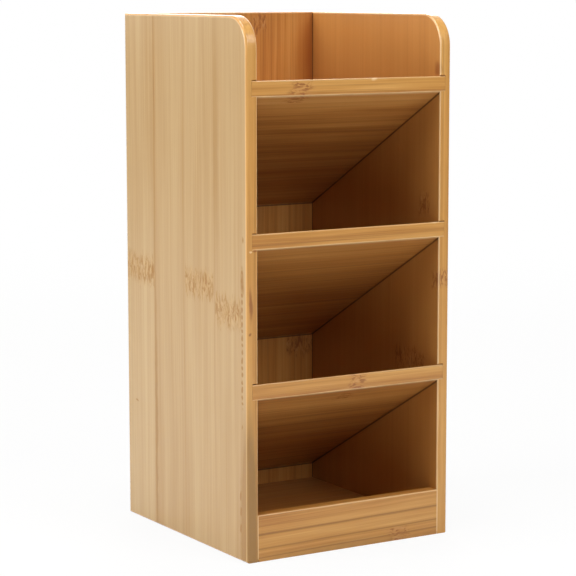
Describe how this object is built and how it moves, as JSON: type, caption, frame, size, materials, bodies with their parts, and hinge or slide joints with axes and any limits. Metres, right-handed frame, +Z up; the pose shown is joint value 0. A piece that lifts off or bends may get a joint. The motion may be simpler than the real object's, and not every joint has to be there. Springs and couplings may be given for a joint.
{
  "type": "desk pen organizer",
  "caption": "Tall bamboo desk pen organizer: side panels with rounded top corners carry sloping shelves that form open front bays under an open top tray.",
  "frame": {"origin": "centre of the footprint, on the surface the organizer stands on", "axes": "+Z up, -Y out of the open front, +X to the right seen from the front"},
  "size_m": [0.13, 0.137, 0.29],
  "materials": {
    "bamboo": "laminated bamboo under clear satin lacquer",
    "beech": "bare fluteless dowel",
    "steel": "plain wire brad"
  },
  "bodies": {
    "root": {"left_side_panel": "bamboo", "right_side_panel": "bamboo", "back_panel": "bamboo", "bottom_board": "bamboo", "front_plinth": "bamboo", "top_shelf": "bamboo", "middle_shelf": "bamboo", "lower_shelf": "bamboo", "plinth_dowels": "beech", "back_panel_brads": "steel"}
  },
  "joints": []
}
